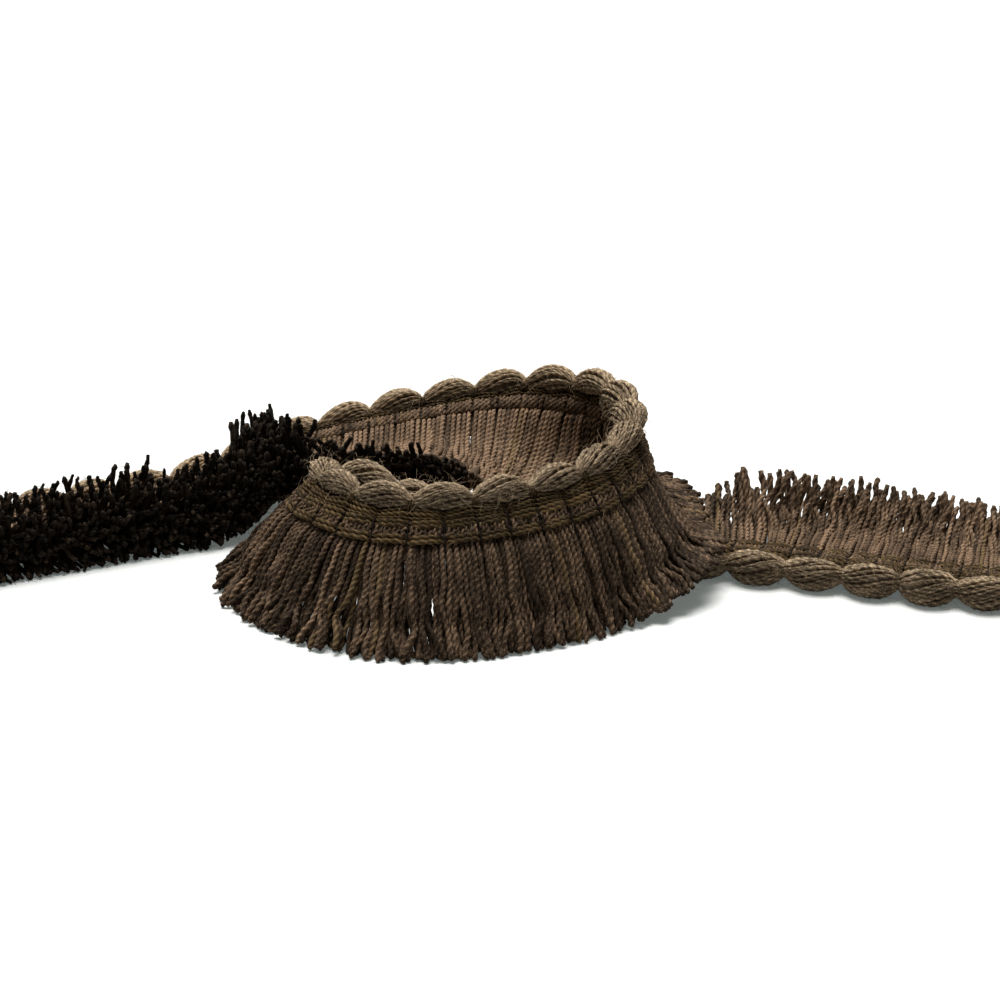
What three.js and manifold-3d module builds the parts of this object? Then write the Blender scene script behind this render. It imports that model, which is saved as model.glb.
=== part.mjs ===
// A cut length of brush fringe trim, lying in one open loop on a table. Millimetres, +Z up.
// The trim is 31 mm wide: a scalloped edge of plump picots, a knitted heading with ribs of
// cord on both faces, and a thick brush of cut yarn that hangs from the heading's lower edge.
// From its left end it lies with the brush forward, rises onto its brush at the back of the
// loop, turns right and comes round the front as a flared skirt, turns again at the left,
// sinks to the table inside the loop, and leaves under the skirt with its brush to the back.
import * as THREE from "three";
import Module from "manifold-3d";
import { mergeGeometries, mergeVertices } from "three/addons/utils/BufferGeometryUtils.js";

const wasm = await Module();
wasm.setup();

// Driving sizes across the trim, from the picots' centre line down to the cut ends.
const picotCount = 38;
const picotHalfHeight = 2.5;
const picotHalfThickness = 3.2;
const seatGap = 0.35;
const headingTop = picotHalfHeight + seatGap;
const headingDepth = 6.35;
const headingFoot = headingTop + headingDepth;
const rootTop = headingFoot + seatGap;
const rootDepth = 1.4;
const rootThickness = 3.6;
const lockTop = rootTop + rootDepth;
const trimWidthBelowPicots = 28.6;
const lockLength = trimWidthBelowPicots - lockTop;

// How far a lock keeps to the heading's lean before it bends, and how far its cut end sinks
// when it bears on something.
const bendShare = 0.42;
const settle = 2.4;

// The brush stands on its cut ends below the first of these leans in radians, and from the
// second on it lies on its side and keeps its thickness.
const lyingFrom = 0.88;
const lyingAt = 1.1;

// Room between neighbours: along the trim at each side of a lock, and at each end of a backing.
const lockSideGap = 0.31;
const backingEndGap = 0.3;

// The way the trim lies. x, y and z are a point on the picots' centre line. heading is the lean
// of the heading in degrees from straight down, positive to the left of travel. The brush comes
// down to the height rest with its lowest locks, opens upwards from them by fan degrees, and
// slants forward along the trim by slant degrees.
const stations = [
  { x: -115.6, y: 12.2, z: 3.2, heading: -90, fan: 30, rest: 0, slant: 0 },
  { x: -97.3, y: 20.8, z: 3.2, heading: -90, fan: 31, rest: 0, slant: 0 },
  { x: -82, y: 28, z: 3.2, heading: -90, fan: 33, rest: 0, slant: 0 },
  { x: -65.6, y: 35, z: 3.8, heading: -90, fan: 46, rest: 0, slant: 0 },
  { x: -49.5, y: 40, z: 8.6, heading: -86, fan: 55, rest: 6, slant: 0 },
  { x: -32.6, y: 40, z: 14.8, heading: -74, fan: 36, rest: 9.4, slant: 0 },
  { x: -10.7, y: 39.5, z: 20.6, heading: -62, fan: 22, rest: 10.6, slant: 0 },
  { x: 5.5, y: 37.5, z: 24.2, heading: -46, fan: 11, rest: 7.2, slant: 0 },
  { x: 16, y: 32, z: 26.2, heading: -20, fan: 12, rest: 6, slant: 8 },
  { x: 21.5, y: 23.6, z: 27.6, heading: 0, fan: 9, rest: 6, slant: 20 },
  { x: 24.2, y: 12, z: 27.6, heading: 12, fan: 4, rest: 5.6, slant: 28 },
  { x: 23.2, y: -2, z: 27.2, heading: 26, fan: 4, rest: 6.4, slant: 16 },
  { x: 12, y: -17, z: 25.6, heading: 37, fan: 5, rest: 0, slant: 4 },
  { x: -7.8, y: -25.4, z: 24.7, heading: 38, fan: 3, rest: 0, slant: 0 },
  { x: -22, y: -23.4, z: 24.2, heading: 39, fan: 5, rest: 0, slant: 0 },
  { x: -30.6, y: -14.8, z: 23.6, heading: 41, fan: 5, rest: 0, slant: -2 },
  { x: -32.2, y: -7.4, z: 22, heading: 45, fan: 6, rest: 0, slant: -10 },
  { x: -28, y: -2.6, z: 20.2, heading: 50, fan: 7, rest: 0, slant: -28 },
  { x: -20, y: -2.4, z: 17.4, heading: 54, fan: 4, rest: 0, slant: -12 },
  { x: -6, y: -3, z: 10.8, heading: 66, fan: 5, rest: 0, slant: 0 },
  { x: 8, y: -3, z: 5.8, heading: 80, fan: 4, rest: 0, slant: 0 },
  { x: 25, y: -3, z: 3.2, heading: 90, fan: 2, rest: 0, slant: 0 },
  { x: 38, y: -5.6, z: 3.2, heading: 90, fan: 20, rest: 0, slant: -8 },
  { x: 45, y: -7.2, z: 3.2, heading: 90, fan: 50, rest: 0, slant: -8 },
  { x: 56, y: -10.2, z: 3.2, heading: 90, fan: 46, rest: 0, slant: 0 },
  { x: 87, y: -19.4, z: 3.2, heading: 90, fan: 34, rest: 0, slant: 0 },
  { x: 116.6, y: -23.4, z: 3.2, heading: 90, fan: 27, rest: 0, slant: 0 },
];

// The brush, one row for each length of it that shares a backing. from and to count picots
// from the left end. side is -1 where the brush falls to the right of travel, 1 to the left.
// rows are the layers of locks through its thickness, across is the locks in each layer.
const brushLengths = [
  { name: "brush_left_end", from: 0, to: 4, side: -1, rows: 3, across: 12 },
  { name: "brush_left_rise", from: 4, to: 8, side: -1, rows: 3, across: 12 },
  { name: "brush_back_left", from: 8, to: 11, side: -1, rows: 3, across: 9 },
  { name: "brush_back_right", from: 11, to: 13.5, side: -1, rows: 2, across: 10 },
  { name: "brush_turn_right", from: 13.5, to: 16.5, side: 1, rows: 2, across: 11 },
  { name: "brush_front_right", from: 16.5, to: 19.5, side: 1, rows: 2, across: 12 },
  { name: "brush_front_left", from: 19.5, to: 22.5, side: 1, rows: 2, across: 12 },
  { name: "brush_hairpin_front", from: 22.5, to: 24, side: 1, rows: 2, across: 6 },
  { name: "brush_hairpin_back", from: 24, to: 25.5, side: 1, rows: 2, across: 5 },
  { name: "brush_inside_loop", from: 25.5, to: 28.5, side: 1, rows: 2, across: 7 },
  { name: "brush_under_skirt", from: 28.5, to: 31.5, side: 1, rows: 2, across: 7 },
  { name: "brush_right_middle", from: 31.5, to: 35, side: 1, rows: 2, across: 14 },
  { name: "brush_right_end", from: 35, to: 38, side: 1, rows: 2, across: 12 },
];

// The heading's half section, from its upper edge down: how far below the edge, the half
// thickness between two wales, and the half thickness where a stitch draws it in.
const headingRows = [
  { below: 0, full: 0.75, drawn: 0.6 },
  { below: 0.9, full: 1.5, drawn: 1.0 },
  { below: 1.9, full: 0.95, drawn: 0.75 },
  { below: 2.8, full: 1.55, drawn: 1.0 },
  { below: 4.3, full: 0.95, drawn: 0.6 },
  { below: 5.6, full: 1.55, drawn: 1.0 },
  { below: 6.35, full: 0.9, drawn: 0.7 },
];

// One picot along the trim: its place as a share of the pitch, its size as a share of the
// full picot, and how far its middle is drawn down to the heading.
const picotRows = [
  { place: 0, size: 0.46, drawnDown: 1.15 },
  { place: 0.22, size: 0.86, drawnDown: 0.25 },
  { place: 0.5, size: 1, drawnDown: 0 },
  { place: 0.78, size: 0.86, drawnDown: 0.25 },
];

const up = new THREE.Vector3(0, 0, 1);

// Moves the stations so that the middle of the whole part stands over the origin.
const shiftX = -2.04;
const shiftY = 0.67;

// Two smooth curves through the stations share one parameter: the line of the picots, and how
// the heading and brush lie there.
const line = new THREE.CatmullRomCurve3(
  stations.map((row) => new THREE.Vector3(row.x, row.y, row.z)),
  false,
  "catmullrom",
  0.5,
);
const lie = new THREE.CatmullRomCurve3(
  stations.map((row) => new THREE.Vector3(row.heading, row.fan, row.rest)),
  false,
  "catmullrom",
  0.5,
);
const forward = new THREE.CatmullRomCurve3(
  stations.map((row) => new THREE.Vector3(row.slant, 0, 0)),
  false,
  "catmullrom",
  0.5,
);

// The length of the line up to each of many even steps of the shared parameter.
const lengthSteps = 2600;
const lengths = line.getLengths(lengthSteps);
const trimLength = lengths[lengthSteps];
const picotPitch = 10.8;
const firstTie = (trimLength - picotCount * picotPitch) / 2;

// The shared parameter at a distance along the line.
function parameterAt(distance) {
  const wanted = Math.min(Math.max(distance, 0), trimLength);
  let low = 0;
  let high = lengthSteps;
  while (high - low > 1) {
    const middle = Math.floor((low + high) / 2);
    if (lengths[middle] > wanted) {
      high = middle;
    } else {
      low = middle;
    }
  }
  const part = (wanted - lengths[low]) / (lengths[high] - lengths[low]);
  return (low + part) / lengthSteps;
}

// Where the trim is at a distance along it, which way it travels, and how it leans.
function frameAt(distance) {
  const t = parameterAt(distance);
  const travel = line.getTangent(t).setZ(0).normalize();
  const left = new THREE.Vector3().crossVectors(up, travel);
  const leans = lie.getPoint(t);
  const at = line.getPoint(t);
  at.set(at.x + shiftX, at.y + shiftY, Math.max(at.z, picotHalfThickness + 0.01));
  return {
    at,
    travel,
    left,
    heading: THREE.MathUtils.degToRad(leans.x),
    fan: THREE.MathUtils.degToRad(leans.y),
    rest: Math.max(leans.z, 0),
    slant: THREE.MathUtils.degToRad(forward.getPoint(t).x),
  };
}

// The direction down the trim at a lean, and the direction out of its left face.
function downAt(frame, lean) {
  return frame.left.clone().multiplyScalar(Math.sin(lean)).addScaledVector(up, -Math.cos(lean));
}
function outAt(frame, lean) {
  return frame.left.clone().multiplyScalar(Math.cos(lean)).addScaledVector(up, Math.sin(lean));
}

// A point of the heading or the picots: a distance along the trim, down it, and out of its face.
function trimPoint(distance, below, out) {
  const frame = frameAt(distance);
  return frame.at
    .clone()
    .addScaledVector(downAt(frame, frame.heading), below)
    .addScaledVector(outAt(frame, frame.heading), out);
}

// A point of the brush. layer runs from 0 at its lowest face to 1 at its highest, and share from
// 0 at the backing to 1 at the cut ends.
function brushPoint(distance, side, layer, share, length) {
  const frame = frameAt(distance);
  const across = (layer - 0.5) * rootThickness * side;
  const root = trimPoint(distance, lockTop, across);
  const lowest = trimPoint(distance, lockTop, -0.5 * rootThickness * side);
  const reach = lockLength * Math.cos(frame.slant);
  const drop = THREE.MathUtils.clamp((lowest.z - frame.rest) / reach, -1, 1);
  const lying = THREE.MathUtils.smoothstep(Math.acos(drop), lyingFrom, lyingAt);
  const lean = side * (Math.acos(drop) + frame.fan * layer);
  const drift = frame.travel.clone().multiplyScalar(Math.sin(frame.slant));
  const first = downAt(frame, frame.heading).multiplyScalar(Math.cos(frame.slant)).add(drift);
  const last = downAt(frame, lean).multiplyScalar(Math.cos(frame.slant)).add(drift);
  const bend = root.clone().addScaledVector(first, bendShare * length);
  const end = root.clone().addScaledVector(last, length);
  const point = new THREE.QuadraticBezierCurve3(root, bend, end).getPoint(share);
  if (share > 0) {
    const least = frame.rest + lying * rootThickness * layer;
    point.z = Math.max(least, point.z - settle * share);
  }
  return point;
}

// A manifold solid from a closed geometry, its faces turned outwards.
function solidFrom(geometry) {
  geometry.deleteAttribute("normal");
  geometry.deleteAttribute("uv");
  const merged = mergeVertices(geometry, 1e-4);
  const corners = Array.from(merged.index.array);
  const turned = corners.map((_, i) => corners[i % 3 === 0 ? i : i + (i % 3 === 1 ? 1 : -1)]);
  const made = (faces) =>
    new wasm.Manifold(
      new wasm.Mesh({
        numProp: 3,
        vertProperties: new Float32Array(merged.attributes.position.array),
        triVerts: new Uint32Array(faces),
      }),
    );
  const solid = made(corners);
  return solid.volume() < 0 ? made(turned) : solid;
}

// A long closed body swept along the trim. sections are distances, ring gives a section's
// outline as points of the trim, in order round it.
function sweptBody(sections, ring) {
  const count = ring(0).length;
  const tube = new THREE.CylinderGeometry(1, 1, 1, count, sections.length - 1, false);
  const place = tube.getAttribute("position");
  const outlines = sections.map((distance, step) =>
    ring(step).map((point) => trimPoint(distance, point.below, point.out)),
  );
  const middles = outlines.map((outline) => {
    const sum = new THREE.Vector3();
    outline.forEach((point) => sum.add(point));
    return sum.divideScalar(count);
  });
  for (let i = 0; i < place.count; i += 1) {
    const x = place.getX(i);
    const z = place.getZ(i);
    const step = Math.round((0.5 - place.getY(i)) * (sections.length - 1));
    if (Math.hypot(x, z) < 0.5) {
      place.setXYZ(i, middles[step].x, middles[step].y, middles[step].z);
    } else {
      const turn = Math.atan2(x, z) / (2 * Math.PI);
      const corner = Math.round((turn + 1) * count) % count;
      const point = outlines[step][corner];
      place.setXYZ(i, point.x, point.y, point.z);
    }
  }
  return solidFrom(tube);
}

// Faces of a box that are left out where two boxes join: the side towards the cut ends, and
// the side towards the picots, as places in the order in which a box lists its six sides.
const cutEndSide = 4;
const picotSide = 5;

// Puts each corner of a box where the trim is, given its place along, through and down the box.
function laidBox(box, corner) {
  const place = box.getAttribute("position");
  for (let i = 0; i < place.count; i += 1) {
    const point = corner(place.getX(i) + 0.5, place.getY(i) + 0.5, place.getZ(i) + 0.5);
    place.setXYZ(i, point.x, point.y, point.z);
  }
  return box;
}

// Takes faces out of one side of a box, two triangles for each cell that is not kept.
function openSide(box, side, keep) {
  const { start, count } = box.groups[side];
  const faces = Array.from(box.index.array);
  const kept = faces.filter((_, i) => i < start || i >= start + count || keep((i - start) / 6));
  box.setIndex(kept);
  box.clearGroups();
  return box;
}

const group = new THREE.Group();

// Puts a solid into the group as a named mesh of one colour.
function addNode(name, solid, colour, roughness) {
  const mesh = solid.getMesh();
  const geometry = new THREE.BufferGeometry();
  geometry.setAttribute("position", new THREE.BufferAttribute(mesh.vertProperties, 3));
  geometry.setIndex(new THREE.BufferAttribute(mesh.triVerts, 1));
  const material = new THREE.MeshStandardMaterial({ color: colour, roughness, metalness: 0 });
  const node = new THREE.Mesh(geometry, material);
  node.name = name;
  group.add(node);
}

// The heading: a knitted band with a rib on both faces at each row of cord, drawn in at every
// stitch line, two of them to a picot.
const walesPerPicot = 2;
const waleCount = picotCount * walesPerPicot;
const wale = picotPitch / walesPerPicot;
const headingSections = [0];
const headingDrawn = [false];
for (let i = 0; i <= waleCount; i += 1) {
  headingSections.push(firstTie + i * wale);
  headingDrawn.push(true);
  if (i < waleCount) {
    headingSections.push(firstTie + (i + 0.5) * wale);
    headingDrawn.push(false);
  }
}
headingSections.push(trimLength);
headingDrawn.push(false);
function headingRing(step) {
  const half = (row) => (headingDrawn[step] ? row.drawn : row.full);
  const leftFace = headingRows.map((row) => ({ below: headingTop + row.below, out: half(row) }));
  const rightFace = headingRows.map((row) => ({ below: headingTop + row.below, out: -half(row) }));
  return leftFace.concat(rightFace.reverse());
}
addNode("heading_band", sweptBody(headingSections, headingRing), "#4a3d2c", 0.9);

// The picots: one skein that swells between its ties, lying along the heading's upper edge.
const picotSides = 8;
const picotSections = [];
const picotShapes = [];
for (let i = 0; i < picotCount; i += 1) {
  picotRows.forEach((row) => {
    picotSections.push(firstTie + (i + row.place) * picotPitch);
    picotShapes.push(row);
  });
}
picotSections.push(firstTie + picotCount * picotPitch);
picotShapes.push(picotRows[0]);
function picotRing(step) {
  const shape = picotShapes[step];
  const flat = 1 / Math.cos(Math.PI / picotSides);
  return Array.from({ length: picotSides }, (_, side) => {
    const turn = ((side + 0.5) / picotSides) * 2 * Math.PI;
    return {
      below: shape.drawnDown - picotHalfHeight * shape.size * flat * Math.cos(turn),
      out: picotHalfThickness * shape.size * flat * Math.sin(turn),
    };
  });
}
addNode("picot_edge", sweptBody(picotSections, picotRing), "#6b5c4a", 0.9);

// The brush: for each length of it a narrow backing just below the heading, with the locks
// standing out of the backing, apart from each other, and cut a little unevenly.
const unevenness = 0.5;
const layerGap = 0.36;
const simplifyWithin = 0.03;
const lockSteps = 2;
const lockBend = 0.55;
brushLengths.forEach((part, number) => {
  const start = firstTie + part.from * picotPitch + backingEndGap;
  const stop = firstTie + part.to * picotPitch - backingEndGap;
  const cell = (stop - start) / part.across;
  const along = [start];
  for (let k = 0; k < part.across; k += 1) {
    along.push(start + k * cell + lockSideGap, start + (k + 1) * cell - lockSideGap);
  }
  along.push(stop);
  const layers = [0];
  for (let row = 1; row < part.rows; row += 1) {
    layers.push((row - layerGap / 2) / part.rows, (row + layerGap / 2) / part.rows);
  }
  layers.push(1);
  const cells = along.length - 1;
  const levels = layers.length - 1;
  const isLock = (cellNumber) => {
    const k = cellNumber % cells;
    const row = levels - 1 - Math.floor(cellNumber / cells);
    return k % 2 === 1 && row % 2 === 0;
  };
  const backing = laidBox(new THREE.BoxGeometry(1, 1, 1, cells, levels, 1), (x, y, z) =>
    trimPoint(
      along[Math.round(x * cells)],
      rootTop + rootDepth * z,
      (layers[Math.round(y * levels)] - 0.5) * rootThickness * part.side,
    ),
  );
  const pieces = [openSide(backing, cutEndSide, (at) => !isLock(Math.floor(at)))];
  for (let row = 0; row < part.rows; row += 1) {
    for (let k = 0; k < part.across; k += 1) {
      const length = lockLength + unevenness * Math.sin(7.1 * k + 2.3 * row + number);
      const lock = laidBox(new THREE.BoxGeometry(1, 1, 1, 1, 1, lockSteps), (x, y, z) => {
        const share = [0, lockBend, 1][Math.round(z * lockSteps)];
        const distance = along[2 * k + 1 + Math.round(x)];
        const layer = layers[2 * row + Math.round(y)];
        return brushPoint(distance, part.side, layer, share, length);
      });
      pieces.push(openSide(lock, picotSide, () => false));
    }
  }
  const solid = solidFrom(mergeGeometries(pieces)).simplify(simplifyWithin);
  addNode(part.name, solid, "#4a3c31", 0.95);
});

export default group;
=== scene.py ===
import math

import bpy
import numpy as np
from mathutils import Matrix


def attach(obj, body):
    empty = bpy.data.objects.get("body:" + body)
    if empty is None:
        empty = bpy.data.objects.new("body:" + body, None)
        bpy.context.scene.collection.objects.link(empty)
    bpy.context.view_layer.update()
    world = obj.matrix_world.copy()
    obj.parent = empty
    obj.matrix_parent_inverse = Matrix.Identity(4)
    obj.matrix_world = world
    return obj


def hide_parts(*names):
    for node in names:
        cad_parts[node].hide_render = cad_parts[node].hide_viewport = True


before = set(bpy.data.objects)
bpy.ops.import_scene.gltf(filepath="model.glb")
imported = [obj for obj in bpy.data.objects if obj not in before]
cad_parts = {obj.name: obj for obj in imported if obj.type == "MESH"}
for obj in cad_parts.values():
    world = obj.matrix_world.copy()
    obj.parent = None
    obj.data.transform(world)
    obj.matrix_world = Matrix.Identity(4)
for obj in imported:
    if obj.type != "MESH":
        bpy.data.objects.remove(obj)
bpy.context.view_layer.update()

# A cut length of brush fringe trim, lying in one open loop on a white table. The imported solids
# give its frame in metres, and every piece of yarn below is laid along the same line in mm.

# The camera. It stands square in front of the loop and looks down at it by 22 degrees, through
# a long lens, so that the trim lies across the middle of a square picture.
camera_rise = math.radians(22)
camera_distance = 0.650
camera_target = (-0.00204, 0.03467, 0.0)
camera = bpy.data.objects.new("camera", bpy.data.cameras.new("camera"))
camera.data.lens = 117
camera.data.sensor_width = 36
camera.data.clip_start = 0.02
camera.data.clip_end = 20
camera.data.dof.use_dof = False
camera.location = (
    camera_target[0],
    camera_target[1] - camera_distance * math.cos(camera_rise),
    camera_target[2] + camera_distance * math.sin(camera_rise),
)
camera.rotation_euler = (math.pi / 2 - camera_rise, 0, 0)
bpy.context.scene.collection.objects.link(camera)
bpy.context.scene.camera = camera

# The light. One broad soft sun comes over the back of the loop, so faces that look up are bright
# and the front of the skirt is in its own shade, and a low even sky fills the rest.
scene = bpy.context.scene
scene.view_settings.view_transform = "Standard"
scene.view_settings.look = "None"
sun = bpy.data.objects.new("sun", bpy.data.lights.new("sun", "SUN"))
sun.data.energy = 4.3
sun.data.angle = math.radians(45)
sun.data.color = (1.0, 0.985, 0.96)
sun.rotation_euler = (math.radians(-17), math.radians(-5), 0)
scene.collection.objects.link(sun)
sky = bpy.data.worlds.new("sky")
scene.world = sky
sky.use_nodes = True
sky_light = sky.node_tree.nodes["Background"]
sky_light.inputs["Color"].default_value = (1.0, 0.98, 0.95, 1)
sky_light.inputs["Strength"].default_value = 0.13

# The table. A smooth matt white board, larger than the view from any side. Rays from the camera
# find it near white, and all other rays find a middle grey, so that it throws little light up
# at the trim.


class Flow:
    """One output of a material's nodes, with the arithmetic that makes new nodes."""

    def __init__(self, tree, out=None):
        self.tree = tree
        self.out = out

    def node(self, kind, settings=None, values=None, output=0):
        made = self.tree.nodes.new(kind)
        for name, value in (settings or {}).items():
            setattr(made, name, value)
        for key, value in (values or {}).items():
            if isinstance(value, Flow):
                self.tree.links.new(value.out, made.inputs[key])
            else:
                made.inputs[key].default_value = value
        return Flow(self.tree, made.outputs[output])

    def math(self, operation, first, second=0.0):
        return self.node("ShaderNodeMath", {"operation": operation}, {0: first, 1: second})

    def __add__(self, other):
        return self.math("ADD", self, other)

    __radd__ = __add__

    def __sub__(self, other):
        return self.math("SUBTRACT", self, other)

    def __rsub__(self, other):
        return self.math("SUBTRACT", other, self)

    def __mul__(self, other):
        return self.math("MULTIPLY", self, other)

    __rmul__ = __mul__

    def __truediv__(self, other):
        return self.math("DIVIDE", self, other)

    def __rtruediv__(self, other):
        return self.math("DIVIDE", other, self)

    def __pow__(self, other):
        return self.math("POWER", self, other)

    def mix(self, first, second):
        """The colours first and second, mixed by this value."""
        settings = {"data_type": "RGBA", "clamp_factor": True}
        return self.node("ShaderNodeMix", settings, {0: self, 6: first, 7: second}, 2)

    def noise(self, place, scale, detail=2.0):
        values = {"Vector": place, "Scale": scale, "Detail": detail}
        return self.node("ShaderNodeTexNoise", {}, values)

    def attribute(self, name):
        return self.node("ShaderNodeAttribute", {"attribute_name": name}, {}, 2)


def new_material(name, roughness):
    """A material, its Principled shader and the start of its flow."""
    material = bpy.data.materials.new(name)
    material.use_nodes = True
    tree = material.node_tree
    shader = tree.nodes["Principled BSDF"]
    shader.inputs["Roughness"].default_value = roughness
    shader.inputs["Specular IOR Level"].default_value = 0.12
    return material, shader, Flow(tree)


table_half = 3.0
table_corners = [(-1, -1), (1, -1), (1, 1), (-1, 1)]
table_mesh = bpy.data.meshes.new("table")
table_mesh.from_pydata(
    [(x * table_half, y * table_half, 0) for x, y in table_corners], [], [(0, 1, 2, 3)],
)
table = bpy.data.objects.new("table", table_mesh)
scene.collection.objects.link(table)
table_material, table_shader, flow = new_material("table_board", 0.75)
grain = flow.noise(flow.node("ShaderNodeTexCoord", {}, {}, 3), 40.0)
seen = flow.node("ShaderNodeLightPath", {}, {}, 0)
table_white = grain.mix((0.90, 0.915, 0.91, 1), (0.925, 0.935, 0.93, 1))
table_colour = seen.mix((0.42, 0.42, 0.42, 1), table_white)
table_glow = seen.mix((0, 0, 0, 1), (0.10, 0.115, 0.11, 1))
table_material.node_tree.links.new(table_colour.out, table_shader.inputs["Base Color"])
table_material.node_tree.links.new(table_glow.out, table_shader.inputs["Emission Color"])
table_shader.inputs["Emission Strength"].default_value = 1.0
table_mesh.materials.append(table_material)

# The ground tape. A thin knitted strip of dark thread runs the whole length of the trim. It
# carries the picots on its upper edge, the cords on its faces and the brush at its lower edge.
MM = 0.001
stations = np.array([
    # x, y, z, heading, fan, rest, slant
    (-115.6, 12.2, 3.2, -90, 30, 0, 0),
    (-97.3, 20.8, 3.2, -90, 31, 0, 0),
    (-82, 28, 3.2, -90, 33, 0, 0),
    (-65.6, 35, 3.8, -90, 46, 0, 0),
    (-49.5, 40, 8.6, -86, 55, 6, 0),
    (-32.6, 40, 14.8, -74, 36, 9.4, 0),
    (-10.7, 39.5, 20.6, -62, 22, 10.6, 0),
    (5.5, 37.5, 24.2, -46, 11, 7.2, 0),
    (16, 32, 26.2, -20, 12, 6, 8),
    (21.5, 23.6, 27.6, 0, 9, 6, 20),
    (24.2, 12, 27.6, 12, 4, 5.6, 28),
    (23.2, -2, 27.2, 26, 4, 6.4, 16),
    (12, -17, 25.6, 37, 5, 0, 4),
    (-7.8, -25.4, 24.7, 38, 3, 0, 0),
    (-22, -23.4, 24.2, 39, 5, 0, 0),
    (-30.6, -14.8, 23.6, 41, 5, 0, -2),
    (-32.2, -7.4, 22, 45, 6, 0, -10),
    (-28, -2.6, 20.2, 50, 7, 0, -28),
    (-20, -2.4, 17.4, 54, 4, 0, -12),
    (-6, -3, 10.8, 66, 5, 0, 0),
    (8, -3, 5.8, 80, 4, 0, 0),
    (25, -3, 3.2, 90, 2, 0, 0),
    (38, -5.6, 3.2, 90, 20, 0, -8),
    (45, -7.2, 3.2, 90, 50, 0, -8),
    (56, -10.2, 3.2, 90, 46, 0, 0),
    (87, -19.4, 3.2, 90, 34, 0, 0),
    (116.6, -23.4, 3.2, 90, 27, 0, 0),
])
shift_x = -2.04
shift_y = 0.67
picot_count = 38
picot_pitch = 10.8
wale = picot_pitch / 2
picot_half_height = 2.5
picot_half_thickness = 3.2
heading_top = 2.85
heading_depth = 6.35


def smooth_line(rows, steps):
    """Points on the curve through the rows, in even steps of its parameter."""
    ends = np.vstack([2 * rows[0] - rows[1], rows, 2 * rows[-1] - rows[-2]])
    t = np.linspace(0, len(rows) - 1, steps + 1)
    k = np.minimum(t.astype(int), len(rows) - 2)
    f = (t - k)[:, None]
    a, b, c, d = ends[k], ends[k + 1], ends[k + 2], ends[k + 3]
    cube = (3 * b - a - 3 * c + d) * f ** 3
    return 0.5 * (2 * b + (c - a) * f + (2 * a - 5 * b + 4 * c - d) * f ** 2 + cube)


line_steps = 2600
line = smooth_line(stations, line_steps)
line_gaps = np.linalg.norm(np.diff(line[:, :3], axis=0), axis=1)
line_lengths = np.concatenate([[0], np.cumsum(line_gaps)])
trim_length = line_lengths[-1]
first_tie = (trim_length - picot_count * picot_pitch) / 2
travel_line = np.gradient(line[:, :2], axis=0)
travel_line /= np.linalg.norm(travel_line, axis=1, keepdims=True)


def on_line(values, distance):
    return np.interp(distance, line_lengths, values)


def lie(distance):
    """Where the trim is at each distance along it, its travel, its left and how it leans."""
    at = np.stack(
        [
            on_line(line[:, 0] + shift_x, distance),
            on_line(line[:, 1] + shift_y, distance),
            np.maximum(on_line(line[:, 2], distance), picot_half_thickness + 0.01),
        ],
        -1,
    )
    tx = on_line(travel_line[:, 0], distance)
    ty = on_line(travel_line[:, 1], distance)
    size = np.hypot(tx, ty)
    zero = np.zeros_like(size)
    return {
        "at": at,
        "travel": np.stack([tx / size, ty / size, zero], -1),
        "left": np.stack([-ty / size, tx / size, zero], -1),
        "heading": np.radians(on_line(line[:, 3], distance)),
        "fan": np.radians(on_line(line[:, 4], distance)),
        "rest": np.maximum(on_line(line[:, 5], distance), 0),
        "slant": np.radians(on_line(line[:, 6], distance)),
    }


up = np.array([0.0, 0.0, 1.0])


def down_at(where, lean):
    return where["left"] * np.sin(lean)[..., None] - up * np.cos(lean)[..., None]


def out_at(where, lean):
    return where["left"] * np.cos(lean)[..., None] + up * np.sin(lean)[..., None]


def trim_point(distance, below, out):
    """A point of the heading or the picots: along the trim, down it, and out of its left face."""
    distance, below, out = np.broadcast_arrays(distance, below, out)
    where = lie(distance)
    down = down_at(where, where["heading"]) * below[..., None]
    return where["at"] + down + out_at(where, where["heading"]) * out[..., None]


def new_piece(name, points, faces, material, attributes=None, uv=None):
    """A mesh object from arrays. points are in mm, faces a list of arrays with a row a face."""
    mesh = bpy.data.meshes.new(name)
    sizes = np.concatenate([np.full(len(f), f.shape[1]) for f in faces])
    corners = np.concatenate([f.ravel() for f in faces]).astype(np.int32)
    mesh.vertices.add(len(points))
    mesh.vertices.foreach_set("co", (points * MM).astype(np.float32).ravel())
    mesh.loops.add(len(corners))
    mesh.loops.foreach_set("vertex_index", corners)
    mesh.polygons.add(len(sizes))
    starts = np.concatenate([[0], np.cumsum(sizes)[:-1]]).astype(np.int32)
    mesh.polygons.foreach_set("loop_start", starts)
    for key, values in (attributes or {}).items():
        layer = mesh.attributes.new(key, "FLOAT", "POINT")
        layer.data.foreach_set("value", values.astype(np.float32).ravel())
    if uv is not None:
        layer = mesh.uv_layers.new(name="OFBake")
        layer.uv.foreach_set("vector", uv.astype(np.float32).ravel())
    mesh.update(calc_edges=True)
    mesh.shade_smooth()
    mesh.materials.append(material)
    piece = bpy.data.objects.new(name, mesh)
    scene.collection.objects.link(piece)
    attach(piece, "root")
    return piece


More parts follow.
